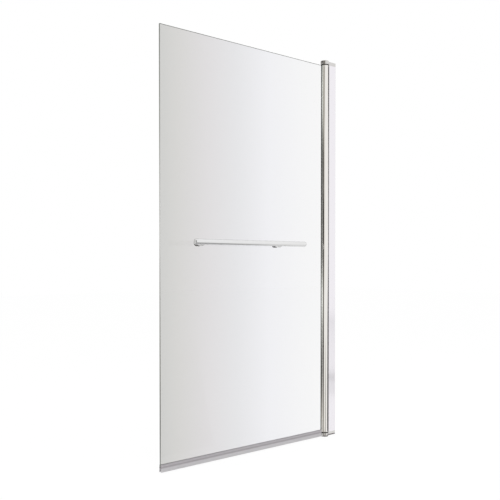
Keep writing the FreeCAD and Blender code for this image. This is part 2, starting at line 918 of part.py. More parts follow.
def make_all():
    """Build every sub-part and return them."""
    return [
        make_wall_channel(),
        make_lock_screws(),
        make_lock_washers(),
        make_lock_caps(),
        make_adjusting_profile(),
        make_bracket("top_bracket", TOP),
        make_bracket("bottom_bracket", BOTTOM),
        make_bracket_screws("top_bracket_screws", TOP),
        make_bracket_screws("bottom_bracket_screws", BOTTOM),
        make_pivot_pin("top_pivot_pin", TOP),
        make_pivot_pin("bottom_pivot_pin", BOTTOM),
        make_pivot_tube(),
        make_tube_plug("top_tube_plug", TOP),
        make_tube_plug("bottom_tube_plug", BOTTOM),
        make_pivot_bush("top_pivot_bush", TOP),
        make_pivot_bush("bottom_pivot_bush", BOTTOM),
        make_glazing_gasket(),
        make_glass_panel(),
        make_bottom_seal(),
        make_towel_rail(),
        make_rail_end_caps(),
        make_rail_inserts(),
        make_rail_posts(),
        make_rail_boss_rings(),
        make_glass_hole_bushes(),
        make_rear_glass_washers(),
        make_rail_cap_nuts(),
        make_rail_studs(),
    ]


def check(parts):
    """Stop on any object that failed, and on any null or invalid shape."""
    for item in doc.Objects:
        if any(word in item.State for word in ("Invalid", "Error")):
            raise RuntimeError(f"{item.Name} failed: {item.State}")
    for part in parts:
        if part.Shape.isNull() or not part.Shape.isValid():
            raise RuntimeError(f"{part.Label} has no valid shape")


def write(parts):
    """Write each sub-part to its own file and report its size."""
    os.makedirs("parts", exist_ok=True)
    for part in parts:
        part.Shape.exportStep(f"parts/{part.Label}.step")
        box = part.Shape.BoundBox
        corner = f"{box.XMin:.2f} {box.YMin:.2f} {box.ZMin:.2f}"
        opposite = f"{box.XMax:.2f} {box.YMax:.2f} {box.ZMax:.2f}"
        print(f"{part.Label}: {len(part.Shape.Solids)} solid, {corner} to {opposite}")


write_sheet()
sub_parts = make_all()
doc.recompute()
check(sub_parts)
write(sub_parts)
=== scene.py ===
"""Looks of a pivoting bath screen: clear glass on a polished tube, hinged to a wall profile.

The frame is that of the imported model: X = 0 is the wall face and the screen runs towards -X,
the towel rail is on the -Y side, and Z = 0 is the middle of the wall fixings. Sizes of pieces
and places in finishes are in millimetres; the studio is in metres, as the scene is.
"""

import logging
import math
from dataclasses import dataclass, field
from enum import Enum

import bpy
import numpy as np
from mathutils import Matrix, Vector
from mathutils.geometry import tessellate_polygon

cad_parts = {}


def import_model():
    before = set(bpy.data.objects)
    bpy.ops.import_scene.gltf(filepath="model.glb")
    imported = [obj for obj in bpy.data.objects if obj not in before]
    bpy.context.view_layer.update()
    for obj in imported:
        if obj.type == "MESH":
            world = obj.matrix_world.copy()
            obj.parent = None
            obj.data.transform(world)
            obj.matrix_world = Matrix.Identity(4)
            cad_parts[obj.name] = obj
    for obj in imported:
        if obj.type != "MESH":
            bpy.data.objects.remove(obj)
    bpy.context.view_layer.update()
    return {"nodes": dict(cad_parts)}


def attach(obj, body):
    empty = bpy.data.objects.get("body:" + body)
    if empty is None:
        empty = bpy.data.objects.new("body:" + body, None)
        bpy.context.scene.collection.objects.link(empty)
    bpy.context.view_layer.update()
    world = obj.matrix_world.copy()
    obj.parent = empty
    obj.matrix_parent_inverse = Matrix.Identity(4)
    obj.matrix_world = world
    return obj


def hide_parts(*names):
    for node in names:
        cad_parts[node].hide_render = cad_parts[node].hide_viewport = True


MM = 0.001
LOG = logging.getLogger("bath_screen")

Colour = tuple[float, float, float, float]
Point = tuple[float, float, float]
# (place from 0 to 1, sRGB hex colour) pairs, in order.
Stops = tuple[tuple[float, str], ...]


# ---------------------------------------------------------------- colour and nodes


def linear(code: str) -> Colour:
    """Turn an sRGB hex colour to linear light.

    Args:
        code: six hex digits.

    Returns:
        Red, green, blue and an alpha of 1.
    """
    channels = [int(code[i : i + 2], 16) / 255 for i in (0, 2, 4)]
    red, green, blue = (
        c / 12.92 if c <= 0.04045 else ((c + 0.055) / 1.055) ** 2.4 for c in channels
    )
    return red, green, blue, 1.0


WHITE = linear("FFFFFF")


def add_node(
    tree: bpy.types.NodeTree,
    kind: str,
    settings: dict | None = None,
    links: dict | None = None,
) -> bpy.types.Node:
    """Add a node to a tree.

    Args:
        tree: the node tree.
        kind: the node's type name.
        settings: attribute names, or input sockets' names or numbers, to plain values.
        links: input sockets' names or numbers to the output sockets that feed them.

    Returns:
        The new node.
    """
    node = tree.nodes.new(kind)
    for key, value in (settings or {}).items():
        if isinstance(key, str) and hasattr(node, key):
            setattr(node, key, value)
        else:
            node.inputs[key].default_value = value
    for key, source in (links or {}).items():
        tree.links.new(source, node.inputs[key])
    return node


def set_stops(ramp: bpy.types.Node, stops: Stops) -> None:
    """Give a colour ramp its stops.

    Args:
        ramp: the colour ramp node.
        stops: places and colours.
    """
    elements = ramp.color_ramp.elements
    while len(elements) > 1:
        elements.remove(elements[-1])
    elements[0].position, elements[0].color = stops[0][0], linear(stops[0][1])
    for place, code in stops[1:]:
        elements.new(place).color = linear(code)


class Axis(Enum):
    """An axis of the object, by its number."""

    X = 0
    Z = 2


def grade(
    tree: bpy.types.NodeTree, axis: Axis, start: float, end: float, stops: Stops
) -> bpy.types.NodeSocket:
    """Add the nodes of a colour that runs along one axis of the object.

    Args:
        tree: the node tree.
        axis: the axis.
        start: place in metres where the stops begin.
        end: place in metres where they end.
        stops: places and colours.

    Returns:
        The colour.
    """
    place = add_node(tree, "ShaderNodeTexCoord").outputs["Object"]
    parts = add_node(tree, "ShaderNodeSeparateXYZ", None, {"Vector": place})
    along = add_node(
        tree,
        "ShaderNodeMapRange",
        {"From Min": start, "From Max": end},
        {"Value": parts.outputs[axis.value]},
    )
    colour = add_node(tree, "ShaderNodeValToRGB", None, {"Fac": along.outputs[0]})
    set_stops(colour, stops)
    return colour.outputs["Color"]


def pick_seen(tree: bpy.types.NodeTree, path: bpy.types.Node) -> bpy.types.NodeSocket:
    """Add the nodes that tell what the eye meets from what only lights the scene.

    Args:
        tree: the node tree.
        path: its light path node.

    Returns:
        1 for a ray from the camera, from a reflection or through glass, and 0 for others.
    """
    seen = path.outputs["Is Camera Ray"]
    for kind in ("Is Glossy Ray", "Is Transmission Ray"):
        either = add_node(
            tree, "ShaderNodeMath", {"operation": "MAXIMUM"}, {0: seen, 1: path.outputs[kind]}
        )
        seen = either.outputs[0]
    return seen


def blank_material(name: str) -> bpy.types.Material:
    """Make a material with an empty node tree.

    Args:
        name: the material's name.

    Returns:
        The new material.
    """
    material = bpy.data.materials.new(name)
    material.use_nodes = True
    material.node_tree.nodes.clear()
    return material


# ---------------------------------------------------------------- finishes

# Levels of the noise between which a finish goes from its low places to its high ones.
LOW_LEVEL, HIGH_LEVEL = 0.3, 0.7


class Grain(Enum):
    """How a surface was made, as the size of its marks along X, Y and Z in millimetres."""

    DRAWN = (0.4, 0.4, 60.0)
    TURNED_Y = (0.15, 3.0, 0.15)
    BUFFED = (1.2, 1.2, 1.2)
    DRAWN_X = (60.0, 0.4, 0.4)
    MOULDED = (0.5, 0.5, 0.5)
    CAST = (2.5, 2.5, 2.5)


@dataclass(frozen=True)
class Finish:
    """One real material: a base colour, a surface, and the marks its making left.

    colour and shade are sRGB hex; shade is the colour in the low places of the marks. spread is
    added to the roughness there. depth is the marks' height in millimetres. Gaps narrower than
    crevice, in millimetres, get painted shade, darkening towards the gap shade colour.
    """

    name: str
    colour: str
    shade: str
    grain: Grain
    metallic: float = 0.0
    roughness: float = 0.3
    spread: float = 0.04
    depth: float = 0.002
    ior: float = 1.5
    transmission: float = 0.0
    crevice: float = 0.0
    gap_shade_colour: str = "8A8688"

    def material(self) -> bpy.types.Material:
        """Build the material, or find the one already built.

        Returns:
            The material.
        """
        found = bpy.data.materials.get(self.name)
        if found is not None:
            return found
        material = blank_material(self.name)
        tree = material.node_tree
        place = add_node(tree, "ShaderNodeTexCoord").outputs["Object"]
        scale = [1 / (size * MM) for size in self.grain.value]
        mapped = add_node(tree, "ShaderNodeMapping", {"Scale": scale}, {"Vector": place})
        marks = add_node(
            tree,
            "ShaderNodeTexNoise",
            {"Scale": 1.0, "Detail": 4.0, "Roughness": 0.55},
            {"Vector": mapped.outputs[0]},
        )
        level = marks.outputs["Fac"]
        colour = add_node(tree, "ShaderNodeValToRGB", None, {"Fac": level})
        set_stops(colour, ((LOW_LEVEL, self.shade), (HIGH_LEVEL, self.colour)))
        tint = colour.outputs["Color"]
        # Painted shade: ambient occlusion darkens narrow gaps and corners towards the gap shade
        # colour.
        if self.crevice > 0:
            openness = add_node(
                tree,
                "ShaderNodeAmbientOcclusion",
                {"samples": 8, "Distance": self.crevice * MM},
            )
            shaded = add_node(
                tree,
                "ShaderNodeMixRGB",
                {"Color1": linear(self.gap_shade_colour)},
                {"Fac": openness.outputs["AO"], "Color2": tint},
            )
            tint = shaded.outputs[0]
        rough = add_node(
            tree,
            "ShaderNodeMapRange",
            {
                "From Min": LOW_LEVEL,
                "From Max": HIGH_LEVEL,
                "To Min": self.roughness + self.spread,
                "To Max": self.roughness,
            },
            {"Value": level},
        )
        bump = add_node(
            tree,
            "ShaderNodeBump",
            {"Strength": 1.0, "Distance": self.depth * MM},
            {"Height": level},
        )
        shader = add_node(
            tree,
            "ShaderNodeBsdfPrincipled",
            {
                "Metallic": self.metallic,
                "IOR": self.ior,
                "Transmission Weight": self.transmission,
            },
            {"Base Color": tint, "Roughness": rough.outputs[0], "Normal": bump.outputs[0]},
        )
        add_node(tree, "ShaderNodeOutputMaterial", None, {"Surface": shader.outputs[0]})
        return material


@dataclass(frozen=True)
class GradedFinish:
    """A material whose colour runs along one axis of the object.

    start and end are the places in millimetres where stops begin and end. glare tints what the
    surface mirrors.
    """

    name: str
    axis: Axis
    start: float
    end: float
    stops: Stops
    roughness: float = 0.0
    ior: float = 1.5
    transmission: float = 0.0
    glare: str = "FFFFFF"

    def material(self) -> bpy.types.Material:
        """Build the material, or find the one already built.

        Returns:
            The material.
        """
        found = bpy.data.materials.get(self.name)
        if found is not None:
            return found
        material = blank_material(self.name)
        tree = material.node_tree
        colour = grade(tree, self.axis, self.start * MM, self.end * MM, self.stops)
        shader = add_node(
            tree,
            "ShaderNodeBsdfPrincipled",
            {
                "Roughness": self.roughness,
                "IOR": self.ior,
                "Transmission Weight": self.transmission,
                "Specular Tint": linear(self.glare),
            },
            {"Base Color": colour},
        )
        add_node(tree, "ShaderNodeOutputMaterial", None, {"Surface": shader.outputs[0]})
        return material


# Bright-dipped extrusion: nearly white, with die lines too fine to show except in its glints,
# and painted shade darkening its narrow gaps.
BRIGHT_ALUMINIUM = Finish(
    "bright anodised aluminium",
    "F4F1F5",
    "EBE8ED",
    Grain.DRAWN,
    metallic=1.0,
    roughness=0.10,
    crevice=4.0,
)
# Buffed extrusion: a mirror with long faint die lines.
POLISHED_ALUMINIUM = Finish(
    "polished aluminium",
    "F3F1EE",
    "E6E3DF",
    Grain.DRAWN,
    metallic=1.0,
    roughness=0.05,
    spread=0.03,
)
# Chrome plate over a tube drawn lengthways.
CHROMED_TUBE = Finish(
    "chromed tube", "EDEDED", "DFDFDF", Grain.DRAWN_X, metallic=1.0, roughness=0.08
)
# Chrome plate over a turned piece.
CHROMED_TURNING = Finish(
    "chromed turning", "E4E4E2", "D2D2D0", Grain.TURNED_Y, metallic=1.0, roughness=0.07
)
# Chrome plate over a buffed zinc casting, a little less flat than the extrusions.
CHROMED_ZINC = Finish(
    "chromed zinc casting",
    "DCDAD8",
    "CFCDCB",
    Grain.CAST,
    metallic=1.0,
    roughness=0.07,
    depth=0.004,
)
# Turned stainless steel, greyer than the chrome.
STAINLESS = Finish(
    "turned stainless steel", "B9B8B4", "A3A29E", Grain.BUFFED, metallic=1.0, roughness=0.22
)
# Turned and polished stainless steel of the fittings through the glass, greyer than chrome as
# steel is, and darker still as a painted shade for the shade under the rail.
SHADED_POLISHED_STEEL = Finish(
    "polished stainless steel in painted shade", "A3A2A0", "908F8D", Grain.TURNED_Y, metallic=1.0, roughness=0.12
)
# Turned brass, hidden inside the rail.
BRASS = Finish("turned brass", "C9A869", "B39250", Grain.TURNED_Y, metallic=1.0, roughness=0.25)
# Moulded nylon, slightly waxy.
WHITE_NYLON = Finish(
    "white nylon", "E4E3DF", "DAD9D4", Grain.MOULDED, roughness=0.45, ior=1.53
)
GREY_NYLON = Finish("grey nylon", "77777A", "6B6B6E", Grain.MOULDED, roughness=0.45, ior=1.53)
# Moulded acetal of the pivot bushes, nearly black.
BLACK_ACETAL = Finish(
    "black acetal", "2A2523", "211D1C", Grain.MOULDED, roughness=0.35, ior=1.48
)
# Metallised moulding of the lock caps.
SILVER_ABS = Finish(
    "metallised ABS", "DADADA", "CFCFCF", Grain.MOULDED, metallic=1.0, roughness=0.18
)
# Clear vinyl: cloudy in the mass.
CLEAR_VINYL = Finish(
    "clear vinyl",
    "CFCECB",
    "C2C1BE",
    Grain.MOULDED,
    roughness=0.25,
    ior=1.54,
    transmission=0.6,
)
# Painted shade on the gasket's lip behind the glass: a dark copy of its vinyl, green-grey where
# the glass edge shows in it.
GASKET_PAINTED_SHADE = Finish(
    "gasket vinyl in painted shade", "5A5F59", "474C46", Grain.DRAWN, roughness=0.3, ior=1.54
)
# Clear body of the gasket, with light and dark bands painted along its height: painted
# reflection, for the bands the tube beside it mirrors.
GASKET_PAINTED_BANDS = GradedFinish(
    "clear vinyl in painted reflection bands",
    Axis.Z,
    -698.0,
    698.0,
    (
        (0.0, "D9D6D0"),
        (0.05, "C0BCB2"),
        (0.10, "8E8B84"),
        (0.16, "757470"),
        (0.21, "8A8985"),
        (0.29, "CBCCC6"),
        (0.35, "FDFFF9"),
        (0.39, "F4F6F0"),
        (0.43, "D1D2CC"),
        (0.48, "9D9D98"),
        (0.58, "8C8C87"),
        (0.65, "787874"),
        (0.76, "6D6F6A"),
        (0.82, "8F918C"),
        (0.88, "C4C6C0"),
        (0.95, "C7C9C3"),
        (1.0, "AAACA6"),
    ),
    roughness=0.25,
    ior=1.54,
)
# Toughened float glass with a painted grey that stands for reflection and shade, darkest at the
# free edge and fading towards the hinge, dulled a little so that the rail's mirror image stays
# faint.
GLASS_PAINTED_SHADE = GradedFinish(
    "toughened float glass",
    Axis.X,
    -785.0,
    -56.0,
    (
        (0.0, "CFCFCD"),
        (0.09, "D6D5D3"),
        (0.25, "DFDDDE"),
        (0.42, "E5E5E7"),
        (0.62, "F0F0F3"),
        (0.85, "F5F5F6"),
        (1.0, "F7F7F7"),
    ),
    transmission=1.0,
    glare="A8A8A8",
)
# Ground edge of the glass: frosted, grey-green, with painted light: lighter and darker along its
# height where light runs down the sheet.
GROUND_EDGE = GradedFinish(
    "ground glass edge",
    Axis.Z,
    -698.0,
    698.0,
    (
        (0.0, "8C8E8A"),
        (0.10, "70716B"),
        (0.25, "8A8A83"),
        (0.42, "B0AFAC"),
        (0.52, "CFCECB"),
        (0.60, "C4C3C0"),
        (0.80, "94958F"),
        (1.0, "7C7F79"),
    ),
    roughness=0.55,
)
# The seal from the tips of its soft pale fins up to the bead of its harder, darker grip.
SEAL_VINYL = GradedFinish(
    "two-hardness vinyl",
    Axis.Z,
    -714.5,
    -687.0,
    (
        (0.0, "D4D2D4"),
        (0.24, "D8D6D8"),
        (0.36, "DCDADD"),
        (0.47, "C7C3C6"),
        (0.545, "AFAAAE"),
        (0.62, "AFAAAE"),
        (0.67, "CBC6CA"),
        (0.855, "C4C0C4"),
        (1.0, "BCB8BC"),
    ),
    roughness=0.3,
    ior=1.54,
    transmission=0.25,
)
# Saw-cut ends of the seal: dark across the hard grip, pale across the fins.
CUT_VINYL = GradedFinish(
    "saw-cut vinyl",
    Axis.Z,
    -714.5,
    -687.0,
    ((0.0, "D6D4D6"), (0.40, "D0CED0"), (0.44, "6B666A"), (1.0, "6B666A")),
    roughness=0.5,
    ior=1.54,
)


def dress(node: bpy.types.Object, finish: Finish | GradedFinish) -> None:
    """Put a finish on a carried-over node, or on a new piece with no material yet.

    Args:
        node: the object.
        finish: what it is made of.
    """
    if not node.material_slots:
        node.data.materials.append(finish.material())
    for slot in node.material_slots:
        slot.material = finish.material()


def dress_nodes(nodes: dict[str, bpy.types.Object], finishes: dict[str, Finish]) -> None:
    """Put finishes on carried-over nodes.

    Args:
        nodes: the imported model's nodes by name.
        finishes: the finish for each node's name.
    """
    for name, finish in finishes.items():
        dress(nodes[name], finish)
        LOG.info("%s in %s", name, finish.name)


# ---------------------------------------------------------------- mesh forms

# Angle in degrees past which an edge stays sharp.
SHARP_ANGLE = 35.0
# Points on each rounded corner of a section.
CORNER_POINTS = 5


def arc(
    radius: float, start: float, end: float, count: int, centre: tuple[float, float]
) -> np.ndarray:
    """Points of an arc: centre plus radius times (cosine, sine) of equal steps of angle.

    Args:
        radius: the arc's radius.
        start: first angle in degrees.
        end: last angle in degrees.
        count: number of points.
        centre: the arc's centre.

    Returns:
        count rows of x and y.
    """
    angle = np.radians(np.linspace(start, end, count))
    return np.stack(
        [centre[0] + radius * np.cos(angle), centre[1] + radius * np.sin(angle)], axis=1
    )


def soften(corners: list[tuple[float, float, float]]) -> np.ndarray:
    """Round the corners of a closed outline.

    Each corner is replaced by a quadratic curve whose ends lie its rounding's length along both
    sides: (1 - t)^2 times the first end, 2t(1 - t) times the corner and t^2 times the last end.

    Args:
        corners: (x, y, rounding) for each corner; a rounding of 0 keeps the corner sharp.

    Returns:
        The outline's points.
    """
    places = np.array([(x, y) for x, y, _ in corners])
    t = np.linspace(0, 1, CORNER_POINTS)[:, None]
    pieces = []
    for i, (_, _, rounding) in enumerate(corners):
        here = places[i]
        if rounding <= 0:
            pieces.append(here[None])
            continue
        before, after = places[i - 1] - here, places[(i + 1) % len(places)] - here
        first = here + before / np.linalg.norm(before) * rounding
        last = here + after / np.linalg.norm(after) * rounding
        pieces.append((1 - t) ** 2 * first + 2 * t * (1 - t) * here + t**2 * last)
    return np.concatenate(pieces)


def strip_faces(rows: int, columns: int, offset: int, flip: bool) -> np.ndarray:
    """Quads between successive closed rings of points.

    Args:
        rows: the number of rings.
        columns: points in each ring.
        offset: the number of the first ring's first point.
        flip: turn the faces round.

    Returns:
        Four point numbers for each face.
    """
    row, column = np.meshgrid(np.arange(rows - 1), np.arange(columns), indexing="ij")
    a = offset + row * columns + column
    b = offset + row * columns + (column + 1) % columns
    quads = np.stack([a, b, b + columns, a + columns], axis=-1).reshape(-1, 4)
    return quads[:, ::-1] if flip else quads


def finish_mesh(name: str, points: np.ndarray, faces: list[list[int]]) -> bpy.types.Object:
    """Turn points in millimetres and faces into a smooth-shaded object with sharp creases.

    Args:
        name: the piece's name.
        points: N rows of X, Y and Z.
        faces: lists of point numbers.

    Returns:
        The new object, at the origin.
    """
    mesh = bpy.data.meshes.new(name)
    mesh.from_pydata((points * MM).tolist(), [], faces)
    mesh.validate()
    mesh.shade_smooth()
    mesh.set_sharp_from_angle(angle=math.radians(SHARP_ANGLE))
    piece = bpy.data.objects.new(name, mesh)
    bpy.context.scene.collection.objects.link(piece)
    return piece


def signed_area(loops: np.ndarray) -> np.ndarray:
    """Area inside loops of points, positive where a loop runs anticlockwise.

    Args:
        loops: one loop's rows of x and y, or a stack of such loops.

    Returns:
        The area of each loop.
    """
    x, y = loops[..., 0], loops[..., 1]
    return 0.5 * np.sum(x * np.roll(y, -1, axis=-1) - np.roll(x, -1, axis=-1) * y, axis=-1)


class Plane(Enum):
    """The plane a section is drawn in, as the object's axes for its x, its y and its height."""

    XY = (0, 1, 2)
    XZ = (0, 2, 1)
    YZ = (1, 2, 0)


def prism(
    name: str, plane: Plane, levels: list[tuple[float, list[np.ndarray]]]
) -> tuple[bpy.types.Object, int]:
    """Solid between flat ends, its sides carried through the loops of each level.

    A side point moves in a straight line from its place on one level to its place on the next.
    The first loop of a level is its outline, and the others are holes; every level has the same
    loops with the same number of points.

    Args:
        name: the piece's name.
        plane: the plane that the loops are drawn in.
        levels: (height, loops) pairs, the height along the plane's normal.

    Returns:
        The object, and the number of its side faces, which come first.
    """
    x_axis, y_axis, up_axis = plane.value
    mirrored = plane is Plane.XZ
    counts = [len(loop) for loop in levels[0][1]]
    blocks, sides, starts = [], [], []
    offset = 0
    for index, count in enumerate(counts):
        rings = np.zeros((len(levels), count, 3))
        for row, (height, loops) in enumerate(levels):
            rings[row, :, x_axis] = loops[index][:, 0]
            rings[row, :, y_axis] = loops[index][:, 1]
            rings[row, :, up_axis] = height
        blocks.append(rings.reshape(-1, 3))
        clockwise = bool(signed_area(levels[0][1][index]) < 0)
        flip = clockwise ^ (index > 0) ^ mirrored
        sides.extend(strip_faces(len(levels), count, offset, flip).tolist())
        starts.append(offset)
        offset += len(levels) * count
    ends = []
    for row, upwards in ((0, False), (len(levels) - 1, True)):
        numbers = np.concatenate(
            [np.arange(count) + start + row * count for start, count in zip(starts, counts)]
        )
        loops = [[Vector((x, y, 0.0)) for x, y in loop] for loop in levels[row][1]]
        triangles = np.array(list(tessellate_polygon(loops)))
        anticlockwise = signed_area(np.concatenate(levels[row][1])[triangles]) > 0
        inward = anticlockwise != (upwards ^ mirrored)
        triangles[inward] = triangles[inward, ::-1]
        ends.extend(numbers[triangles].tolist())
    piece = finish_mesh(name, np.concatenate(blocks), sides + ends)
    return piece, len(sides)


# ---------------------------------------------------------------- sub-assemblies


@dataclass
class WallSide:
    """Wall channel with its width locks, which stay on the wall."""

    finishes: dict[str, Finish] = field(
        default_factory=lambda: {
            "wall_channel": BRIGHT_ALUMINIUM,
            "lock_screws": STAINLESS,
            "lock_washers": WHITE_NYLON,
            "lock_caps": SILVER_ABS,
        }
    )

    def build(self, nodes: dict[str, bpy.types.Object]) -> None:
        """Dress the wall side's nodes.

        Args:
            nodes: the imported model's nodes by name.
        """
        dress_nodes(nodes, self.finishes)


@dataclass
class HingeFrame:
    """Adjusting profile, end brackets and pivot pins."""

    finishes: dict[str, Finish] = field(
        default_factory=lambda: {
            "adjusting_profile": BRIGHT_ALUMINIUM,
            "top_bracket": CHROMED_ZINC,
            "bottom_bracket": CHROMED_ZINC,
            "top_bracket_screws": STAINLESS,
            "bottom_bracket_screws": STAINLESS,
            "top_pivot_pin": STAINLESS,
            "bottom_pivot_pin": STAINLESS,
        }
    )

    def build(self, nodes: dict[str, bpy.types.Object]) -> None:
        """Dress the hinge frame's nodes.

        Args:
            nodes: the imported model's nodes by name.
        """
        dress_nodes(nodes, self.finishes)


@dataclass
class PivotTube:
    """Round extrusion with a channel for the glass, and what fits in its ends.

    The channel's mouth is rounded through a point lip_run in from the lip and lip_rise above
    the channel's side.
    """

    centre: float = -48.0
    radius: float = 15.0
    wall: float = 1.6
    channel_half: float = 4.5
    channel_wall: float = 1.5
    channel_floor: float = 7.9
    lip: float = 0.5
    lip_run: float = 0.12
    lip_rise: float = 0.14
    half_height: float = 698.7
    outer_points: int = 145
    inner_points: int = 121
    finishes: dict[str, Finish] = field(
        default_factory=lambda: {
            "top_tube_plug": GREY_NYLON,
            "bottom_tube_plug": GREY_NYLON,
            "top_pivot_bush": BLACK_ACETAL,
            "bottom_pivot_bush": BLACK_ACETAL,
        }
    )

    def outline(self) -> np.ndarray:
        """Outer edge of the section: round, then into the channel and out, with rounded lips.

        Returns:
            The edge's points.
        """
        half = self.channel_half
        mouth_half = half + self.lip
        turn = 180 - math.degrees(math.asin(mouth_half / self.radius))
        ring = arc(self.radius, -turn, turn, self.outer_points, (self.centre, 0.0))
        lip_x = self.centre - math.sqrt(self.radius**2 - mouth_half**2)
        upper = [
            (lip_x + self.lip_run, half + self.lip_rise),
            (lip_x + self.lip, half),
            (self.centre - self.channel_floor, half),
        ]
        lower = [(x, -y) for x, y in reversed(upper)]
        return np.concatenate([ring, np.array(upper + lower)])

    def hollow(self) -> np.ndarray:
        """Edge of the hollow: round, with the glass channel's back standing in it.

        Returns:
            The edge's points.
        """
        inner = self.radius - self.wall
        half = self.channel_half + self.channel_wall
        turn = 180 - math.degrees(math.asin(half / inner))
        ring = arc(inner, -turn, turn, self.inner_points, (self.centre, 0.0))
        back = self.centre - self.channel_floor + self.channel_wall
        return np.concatenate([ring, np.array([(back, half), (back, -half)])])

    def build(self, nodes: dict[str, bpy.types.Object]) -> None:
        """Make the tube and dress the pieces in its ends.

        Args:
            nodes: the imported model's nodes by name.
        """
        loops = [self.outline(), self.hollow()]
        levels = [(-self.half_height, loops), (self.half_height, loops)]
        tube, _ = prism("polished_pivot_tube", Plane.XY, levels)
        dress(tube, POLISHED_ALUMINIUM)
        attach(tube, "screen")
        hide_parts("pivot_tube")
        LOG.info("pivot tube made")
        dress_nodes(nodes, self.finishes)


@dataclass
class GlassSheet:
    """Toughened sheet with ground edges and two holes, and the gasket round its hinge edge.

    fit is the gap between the glass and the gasket. The gasket's limb on the +Y side, behind the
    glass, is painted dark past its step and wherever it is deeper than skin: painted shade.
    """

    left: float = -785.0
    right: float = -56.4
    half_height: float = 697.3
    half_thick: float = 3.0
    arris: float = 0.6
    hole_radius: float = 7.0
    hole_x: tuple[float, float] = (-634.0, -294.0)
    hole_z: float = 15.0
    hole_points: int = 48
    gasket_lip: float = -66.4
    gasket_step: float = -62.2
    gasket_back: float = -55.95
    gasket_half: float = 4.45
    lip_inner_round: float = 0.4
    lip_outer_round: float = 0.6
    fit: float = 0.02
    skin: float = 0.1

    def loops(self, inset: float) -> list[np.ndarray]:
        """Outline of the sheet drawn in by inset, and its holes opened by inset.

        Args:
            inset: the distance in millimetres.

        Returns:
            The outline and the holes.
        """
        x0, x1, h = self.left + inset, self.right - inset, self.half_height - inset
        outline = np.array([(x0, -h), (x1, -h), (x1, h), (x0, h)])
        last = 360 - 360 / self.hole_points
        radius = self.hole_radius + inset
        holes = [arc(radius, 0, last, self.hole_points, (x, self.hole_z)) for x in self.hole_x]
        return [outline, *holes]

    def build_sheet(self) -> None:
        """Make the glass, with its ground edges in a finish of their own."""
        inner, outer = self.loops(self.arris), self.loops(0.0)
        flat = self.half_thick - self.arris
        levels = [
            (-self.half_thick, inner),
            (-flat, outer),
            (flat, outer),
            (self.half_thick, inner),
        ]
        sheet, edge_faces = prism("glass_sheet", Plane.XZ, levels)
        sheet.data.shade_flat()
        # Sheet in a painted grey for reflection and shade, fading towards the hinge.
        sheet.data.materials.append(GLASS_PAINTED_SHADE.material())
        # Ground edges in painted light, lighter and darker along their height.
        sheet.data.materials.append(GROUND_EDGE.material())
        index = np.zeros(len(sheet.data.polygons), dtype=np.int32)
        index[:edge_faces] = 1
        sheet.data.polygons.foreach_set("material_index", index)
        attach(sheet, "screen")
        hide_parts("glass_panel")
        LOG.info("glass sheet made")

    def build_gasket(self) -> None:
        """Make the U-shaped gasket: a section with rounded lips, carried up the channel."""
        lip, back, half = self.gasket_lip, self.gasket_back, self.gasket_half
        inner = self.half_thick + self.fit
        floor = self.right + self.fit
        section = soften(
            [
                (lip, inner, self.lip_inner_round),
                (self.gasket_step, inner, 0.0),
                (floor, inner, 0.0),
                (floor, -inner, 0.0),
                (lip, -inner, self.lip_inner_round),
                (lip, -half, self.lip_outer_round),
                (back, -half, 0.0),
                (back, half, 0.0),
                (lip, half, self.lip_outer_round),
            ]
        )
        levels = [(-self.half_height, [section]), (self.half_height, [section])]
        gasket, _ = prism("gasket_in_painted_light", Plane.XY, levels)
        # Body in painted reflection bands along its height.
        gasket.data.materials.append(GASKET_PAINTED_BANDS.material())
        gasket.data.materials.append(GASKET_PAINTED_SHADE.material())
        centres = np.zeros(len(gasket.data.polygons) * 3)
        gasket.data.polygons.foreach_get("center", centres)
        x, y, _ = centres.reshape(-1, 3).T / MM
        # Painted shade: the limb behind the glass takes the dark copy of the vinyl.
        dark = (y > self.half_thick) & ((x < self.gasket_step) | (y > inner + self.skin))
        gasket.data.polygons.foreach_set("material_index", dark.astype(np.int32))
        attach(gasket, "screen")
        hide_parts("glazing_gasket")
        LOG.info("gasket made")

    def build(self) -> None:
        """Make the sheet and its gasket."""
        self.build_sheet()
        self.build_gasket()


@dataclass
class BottomSeal:
    """Clear seal under the glass: a grip with a bead along its top, and two soft fins.

    side is one side of the section as (half width, height over the glass edge, rounding), from
    the grip's inner foot up over its bead and down round the fin.
    """

    left: float = -785.0
    right: float = -66.5
    edge: float = -697.3
    side: tuple[Point, ...] = (
        (3.02, -0.05, 0.0),
        (3.02, 7.5, 0.3),
        (4.1, 7.5, 0.4),
        (4.1, 6.1, 0.3),
        (3.85, 5.5, 0.3),
        (4.0, 0.1, 0.3),
        (4.3, -0.5, 0.4),
        (4.3, -2.1, 0.5),
        (4.6, -8.7, 1.5),
        (5.6, -16.5, 0.2),
        (4.7, -16.9, 0.2),
        (3.7, -8.7, 1.5),
        (3.1, -3.1, 0.5),
    )

    def section(self) -> np.ndarray:
        """Section of the seal: one side's corners, then the same mirrored, softly rounded.

        Returns:
            The section's points.
        """
        near = [(y, self.edge + height, rounding) for y, height, rounding in self.side]
        far = [(-y, z, rounding) for y, z, rounding in reversed(near)]
        return soften(near + far)

    def build(self) -> None:
        """Make the seal, its section carried along the glass."""
        section = self.section()
        levels = [(self.left, [section]), (self.right, [section])]
        seal, side_faces = prism("vinyl_bottom_seal", Plane.YZ, levels)
        seal.data.materials.append(SEAL_VINYL.material())
        seal.data.materials.append(CUT_VINYL.material())
        index = np.ones(len(seal.data.polygons), dtype=np.int32)
        index[:side_faces] = 0
        seal.data.polygons.foreach_set("material_index", index)
        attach(seal, "screen")
        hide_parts("bottom_seal")
        LOG.info("bottom seal made")


